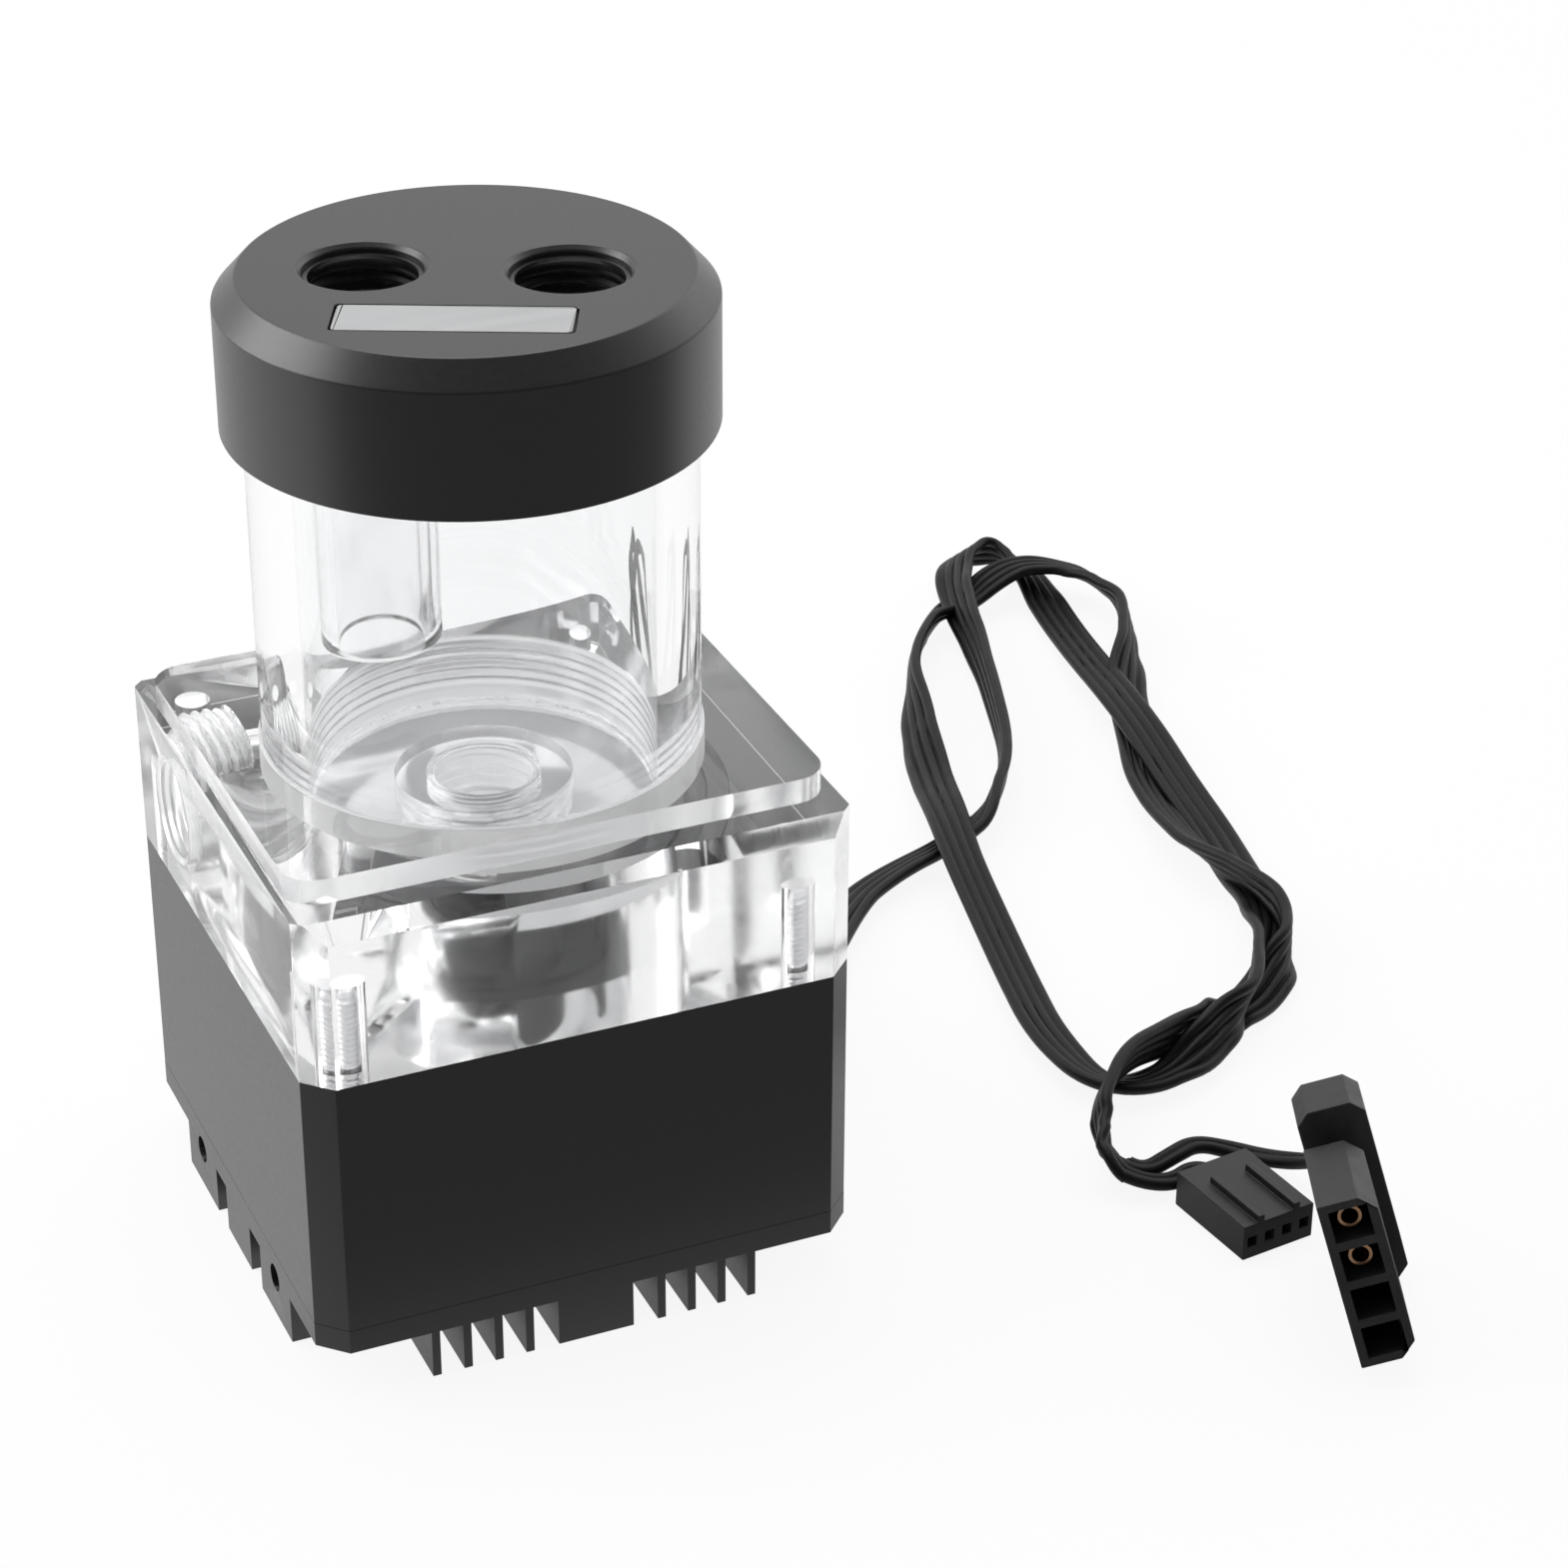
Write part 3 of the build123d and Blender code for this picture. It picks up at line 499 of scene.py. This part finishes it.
def spline_points(route):
    """Points read from the route's NURBS spline, in metres."""
    curve = bpy.data.curves.new("route", "CURVE")
    curve.dimensions = "3D"
    curve.resolution_u = spline_resolution
    spline = curve.splines.new("NURBS")
    spline.points.add(len(route) - 1)
    for point, place in zip(spline.points, route):
        point.co = (place[0] * MM, place[1] * MM, place[2] * MM, 1)
    spline.order_u = 3
    spline.use_endpoint_u = True
    holder = link(bpy.data.objects.new("route", curve))
    mesh = bpy.data.meshes.new_from_object(holder)
    points = [vert.co.copy() for vert in mesh.vertices]
    bpy.data.objects.remove(holder)
    bpy.data.curves.remove(curve)
    bpy.data.meshes.remove(mesh)
    return points


def cores_outline(count):
    """Section of a flat cable of touching round cores, in millimetres."""
    outline = []
    middle = (count - 1) / 2
    for i in range(count):
        first = 180 if i == 0 else 180 - groove_angle
        last = 0 if i == count - 1 else groove_angle
        for k in range(core_points):
            angle = math.radians(first + (last - first) * k / (core_points - 1))
            outline.append(((i - middle) * core + core / 2 * math.cos(angle), core / 2 * math.sin(angle)))
    upper = outline[1:-1]
    return outline + [(x, -y) for x, y in reversed(upper)]


def keyed(keys, place):
    """Value between given keys, eased."""
    for (a, va), (b, vb) in zip(keys, keys[1:]):
        if place <= b:
            t = min(1.0, max(0.0, (place - a) / (b - a)))
            return va + (vb - va) * t * t * (3 - 2 * t)
    return keys[-1][1]


def sweep(points, outline, twist):
    """Sweep a section along points. The section's x lies level across the path, turned by the twist."""
    verts, faces = [], []
    last = len(points) - 1
    for i, point in enumerate(points):
        along = (points[min(i + 1, last)] - points[max(i - 1, 0)]).normalized()
        across = along.cross(Vector((0, 0, 1))).normalized()
        up = across.cross(along)
        angle = math.radians(twist(i / last))
        side = across * math.cos(angle) + up * math.sin(angle)
        face_up = up * math.cos(angle) - across * math.sin(angle)
        verts.extend(point + side * (x * MM) + face_up * (y * MM) for x, y in outline)
    n = len(outline)
    for i in range(last):
        for k in range(n):
            m = (k + 1) % n
            faces.append((i * n + k, i * n + m, (i + 1) * n + m, (i + 1) * n + k))
    faces.append(tuple(range(n - 1, -1, -1)))
    faces.append(tuple(last * n + k for k in range(n)))
    return verts, faces


ribbon_points = spline_points(ribbon_route)
fan_points = spline_points(fan_route)
power_points = spline_points(power_route)
last_index = len(ribbon_route) - 1
ribbon_shape = sweep(ribbon_points, cores_outline(4), lambda t: keyed(ribbon_twist, t * last_index))
fan_shape = sweep(fan_points, cores_outline(2), lambda t: keyed(split_twist, t))
power_shape = sweep(power_points, cores_outline(2), lambda t: keyed(split_twist, t))
ribbon = mesh_object("flat_cable", *joined(ribbon_shape, fan_shape), smooth=cable_smooth)
seat(ribbon, "ribbon_cable")
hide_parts("fan_wires")
power_pair = mesh_object("power_pair", *power_shape, smooth=cable_smooth)
seat(power_pair, "power_wires")

# Clear tube with a thread at each end, in millimetres
tube_inner = 20.0
tube_outer = 25.0
tube_edge = 0.6
tube_polished = 23
tube_low = 56.5
tube_high = 110.3
plateau_z = 64.0
cap_z = 101.8
tube_pitch = 1.25
tube_thread = 0.4
tube_root = tube_outer - tube_thread
end_cut = 0.2
end_bevel = 0.3
thread_gap = 0.5
level_normal = 0.9
tube_segments = 192
drop_segments = 128
port_segments = 96
screw_segments = 48
thread_smooth = 40
screw_smooth = 50
tube_rings = plain((tube_inner, tube_high), (tube_inner, tube_low), (tube_outer - tube_edge, tube_low),
                   (tube_root, tube_low + end_bevel))
tube_rings += threaded(tube_root, tube_low + thread_gap, plateau_z - end_bevel, tube_thread, tube_pitch)
tube_rings += plain((tube_outer, plateau_z + end_cut), (tube_outer, plateau_z + thread_gap),
                    (tube_outer, cap_z), (tube_outer, cap_z + end_bevel))
tube_rings += threaded(tube_root, cap_z + thread_gap, tube_high - thread_gap, tube_thread, tube_pitch)
tube_rings += plain((tube_root, tube_high - end_cut))
tube = mesh_object("clear_tube", *lathe(tube_rings, tube_segments), smooth=thread_smooth)
seat(tube, "reservoir_tube")


def tube_finish(centre, normal):
    """Threads and ends are as cut, the rest is polished."""
    outside = math.hypot(centre.x, centre.y) > tube_polished
    thread_face = outside and not plateau_z < centre.z < cap_z
    return 1 if abs(normal.z) > level_normal or thread_face else 0


share_faces(tube, [materials["milled_acrylic"]], tube_finish)

# Clear block: a copy lifted off the housing by a hair, so that light turns back inside it
half_side = 32.5
block_low = 41.0
cavity_z = 50.0
boss_top = 59.0
ledge_z = 61.0
socket_radius = 25.3
boss_reach = 11
boss_height = 3
corner_cut = 3.5
screw_offset = 26.5
screw_hole_reach = 3
block_foot = 0.001
block_lift = 0.03
port_radius = 6.52
port_pitch = 1.337
port_thread = 0.8
cap_thread = 0.45
inlet_depth = 5.8
outlet_y = 16.5
outlet_z = 51.0
outlet_depth = 8.3
liner_start = 0.4
liner_seat = 0.3
# How near to a face, a thread or the boss still counts as part of it
near_face = 0.1
near_thread = 0.2
above_boss = 0.5
rising_normal = 0.5


def lift(point):
    if point.z < (block_low + block_foot) * MM:
        return Vector((point.x, point.y, (block_low + block_lift) * MM))
    return point


def block_finish(centre, normal):
    """0 is polished, 1 is satin, and 2 is milled white, as threads and the tube's foot are."""
    x, y, z = abs(centre.x), abs(centre.y), centre.z
    radius = math.hypot(x, y)
    underside = z < block_low + near_face and normal.z < -level_normal
    top_face = z > boss_top + above_boss and normal.z > rising_normal
    if underside or top_face:
        return 0
    outlet = math.hypot(centre.y - outlet_y, z - outlet_z) < port_radius + near_face
    if outlet and centre.x > near_face - half_side:
        return 2 if centre.x < outlet_depth - half_side else 1
    drilled = math.hypot(x - screw_offset, y - screw_offset) < screw_hole_reach
    wall = max(x, y) > half_side - near_face or x + y > 2 * half_side - corner_cut
    boss_side = normal.z > level_normal or port_radius + near_thread < radius < boss_reach
    boss = boss_top - boss_height < z < boss_top + near_face and boss_side
    ledge = z > ledge_z and radius > socket_radius + near_thread
    if wall or boss or drilled or ledge:
        return 1
    return 2 if z > cavity_z else 1


def thread_liner(low, high):
    """Ring with a pipe thread on its inside. It reaches a little into the wall around it."""
    rings = threaded(port_radius - port_thread, high, low, port_thread, port_pitch)
    seated = port_radius + liner_seat
    return lathe(rings + plain((seated, low), (seated, high)), port_segments)


def to_outlet(point):
    return Vector((point.z - half_side * MM, point.x + outlet_y * MM, point.y + outlet_z * MM))


block = skin("pump_top", "clear_block", shift=lift)
inlet_shape = thread_liner(boss_top - inlet_depth, boss_top - liner_start)
outlet_shape = moved(thread_liner(liner_start, outlet_depth), to_outlet)
unite(block, [mesh_object("inlet", *inlet_shape), mesh_object("outlet", *outlet_shape)])
smooth_by_angle(block.data)
seat(block, "pump_top", replace=False)
share_faces(block, [materials["satin_acrylic"], materials["milled_acrylic"]], block_finish)

# Threads of the cap's two ports, each with a lip at its mouth. Inside the ports they get a darker, duller
# black than the cap they are cut in: painted shade. Only the lip's top keeps the cap's own finish
cap_turned = math.radians(-25)
port_offset = 11.15
left_port_low = 113.9
right_port_low = 111.9
lip_z = 118.0
lip_width = 0.5
lip_height = 0.5
lip_shown = 0.3


def port_place(side):
    """Middle of the cap's left port at -1 and of its right port at 1."""
    reach = side * port_offset
    return Vector((reach * math.cos(cap_turned), reach * math.sin(cap_turned), 0)) * MM


# 0 gives the port's walls their painted shade, and 1 gives the lip's top the cap's own finish
def lip_finish(centre, normal):
    return 1 if centre.z > lip_z - lip_shown else 0


for name, side, low in (("left_port_thread", -1, left_port_low), ("right_port_thread", 1, right_port_low)):
    middle = port_place(side)
    rings = plain((port_radius, lip_z), (port_radius - lip_width, lip_z))
    rings += threaded(port_radius - cap_thread, lip_z - lip_height, low, cap_thread, port_pitch)
    rings += plain((port_radius, low))
    liner_shape = moved(lathe(rings, port_segments), lambda point: point + middle)
    liner = mesh_object(name, *liner_shape, smooth=thread_smooth)
    seat(liner, "top_cap", materials["port_painted_shade"], replace=False)
    share_faces(liner, [materials["black_anodised"]], lip_finish)

# Return tube under the left port, with a rounded end
drop_outer = 7.0
drop_inner = 5.0
drop_low = 75.5
drop_high = 113.8
drop_round = 0.8
drop_bevel = 0.15
drop_run = 0.3
round_steps = 8
drop_rings = [(drop_inner, drop_high), (drop_inner, drop_low + drop_bevel),
              (drop_inner + drop_bevel, drop_low)]
for i in range(round_steps + 1):
    turn = math.pi / 2 * i / round_steps
    drop_rings.append((drop_outer - drop_round * (1 - math.sin(turn)),
                       drop_low + drop_round * (1 - math.cos(turn))))
drop_rings += [(drop_outer, drop_low + drop_round + drop_run), (drop_outer, drop_high)]
drop_place = port_place(-1)
drop_shape = moved(lathe(plain(*drop_rings), drop_segments), lambda point: point + drop_place)
drop = mesh_object("return_tube", *drop_shape, smooth=thread_smooth)
seat(drop, "drop_tube", materials["soft_acrylic"])

# Long corner screws with a hexagon socket
head_z = 6.3
head_height = 2.1
head_radius = 3.8
socket_reach = 1.44
socket_depth = 1.4
shank = 1.95
shank_end = 0.5
thread_root = 1.6
thread_start = 0.2
screw_pitch = 0.7
screw_steps = 8
tip_z = 51.0
tip_height = 0.4
tip_cut = 0.3
screw_rings = plain((socket_reach, head_z + socket_depth), (socket_reach, head_z), (head_radius, head_z),
                    (shank, head_z + head_height), (shank, block_low - shank_end))
screw_rings += threaded(thread_root, block_low + thread_start, tip_z - tip_height, shank - thread_root,
                        screw_pitch, screw_steps)
screw_rings += plain((thread_root - tip_cut, tip_z))
screw = lathe(screw_rings, screw_segments, closed=False, hexed=2)
screw_shapes = []
for sx in (-1, 1):
    for sy in (-1, 1):
        corner = Vector((sx * screw_offset, sy * screw_offset, 0)) * MM
        screw_shapes.append(moved(screw, lambda point: point + corner))
screws = mesh_object("corner_screws", *joined(*screw_shapes), smooth=screw_smooth)
seat(screws, "body_screws")

# Opaque pieces with softened edges
plate_share = Vector((0.988, 0.975, 1))
plate_low, plate_high = (Vector(place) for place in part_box("nameplate"))
plate_middle = (plate_low + plate_high) / 2


def shrink(point):
    """Leave a dark line around the plate."""
    return plate_middle + (point - plate_middle) * plate_share


skin("pump_housing", "housing_body", bevel=0.25 * MM)
skin("heatsink_base", "finned_base", bevel=0.15 * MM)
skin("top_cap", "screw_cap", bevel=0.2 * MM)
skin("nameplate", "bare_plate", bevel=0.12 * MM, shift=shrink, corner=0.9 * MM)
fan_plug = skin("fan_plug", "fan_connector", bevel=0.15 * MM)
power_plug = skin("power_plug", "power_connector", bevel=0.2 * MM)
grommet = skin("cable_grommet", "cable_sleeve", bevel=0.2 * MM)

# Floor, backdrop light and lamps, in metres. What is glossy sees less light from the front
floor_reach = 6.0
floor_gap = 0.0002
floor_tone = 0.86
floor_rough = 0.9
floor_glow = 0.9
floor_front_y = -0.055
floor_back_y = -0.012
floor_front_light = 0.16
floor_back_light = 1.0
world_light = 0.55
world_front = (-0.2, -0.95, 0.1)
world_back_at = -0.2
world_front_at = 0.36
world_back_light = 0.92
world_front_light = 0.1
lamp_aim = (0.03, 0, 0.05)
white = (1, 1, 1, 1)


def seen_rays(tree):
    return light_rays(tree, "Is Camera Ray", "Is Transmission Ray")


def sharp_rays(tree):
    return light_rays(tree, "Is Camera Ray", "Is Transmission Ray", "Is Glossy Ray")


def make_floor():
    reach = floor_reach
    verts = [(-reach, -reach, 0), (reach, -reach, 0), (reach, reach, 0), (-reach, reach, 0)]
    floor = mesh_object("floor", verts, [(0, 1, 2, 3)])
    floor.location.z = -floor_gap
    material, tree, shader = new_material("floor_white")
    shader.inputs["Base Color"].default_value = (floor_tone, floor_tone, floor_tone, 1)
    shader.inputs["Roughness"].default_value = floor_rough
    shader.inputs["Specular IOR Level"].default_value = 0.0
    glow = tree.nodes.new("ShaderNodeEmission")
    place = tree.nodes.new("ShaderNodeTexCoord")
    apart = tree.nodes.new("ShaderNodeSeparateXYZ")
    tree.links.new(place.outputs["Object"], apart.inputs[0])
    front = span(tree, apart.outputs["Y"], floor_front_light, floor_back_light, floor_front_y, floor_back_y)
    tree.links.new(larger(tree, front, seen_rays(tree)), glow.inputs["Strength"])
    share = tree.nodes.new("ShaderNodeMath")
    share.operation = "MULTIPLY"
    share.inputs[1].default_value = floor_glow
    tree.links.new(sharp_rays(tree), share.inputs[0])
    mix_by(tree, share.outputs[0], shader, glow, "Material Output")
    floor.data.materials.append(material)


def make_world():
    world = bpy.data.worlds.new("studio")
    scene.world = world
    world.use_nodes = True
    tree = world.node_tree
    plain_light = tree.nodes["Background"]
    plain_light.inputs["Color"].default_value = white
    plain_light.inputs["Strength"].default_value = world_light
    seen = tree.nodes.new("ShaderNodeBackground")
    seen.inputs["Color"].default_value = white
    direction = tree.nodes.new("ShaderNodeTexCoord")
    toward = tree.nodes.new("ShaderNodeVectorMath")
    toward.operation = "DOT_PRODUCT"
    toward.inputs[1].default_value = world_front
    tree.links.new(direction.outputs["Generated"], toward.inputs[0])
    gradient = span(tree, toward.outputs["Value"], world_back_light, world_front_light, world_back_at,
                    world_front_at)
    tree.links.new(larger(tree, gradient, seen_rays(tree)), seen.inputs["Strength"])
    mix_by(tree, sharp_rays(tree), plain_light, seen, "World Output")


def make_lamp(name, place, size, power):
    data = bpy.data.lights.new(name, "AREA")
    data.shape = "SQUARE"
    data.size = size
    data.energy = power
    lamp = link(bpy.data.objects.new(name, data))
    lamp.location = place
    lamp.rotation_euler = (Vector(lamp_aim) - Vector(place)).to_track_quat("-Z", "Y").to_euler()


make_floor()
make_world()
make_lamp("left_softbox", (-0.8, 0.5, 0.6), size=0.8, power=7.5)
make_lamp("top_softbox", (0.1, 0.3, 1.1), size=0.9, power=5)
make_lamp("right_softbox", (0.9, 0.4, 0.6), size=0.6, power=0.8)

scene.view_settings.view_transform = "Standard"
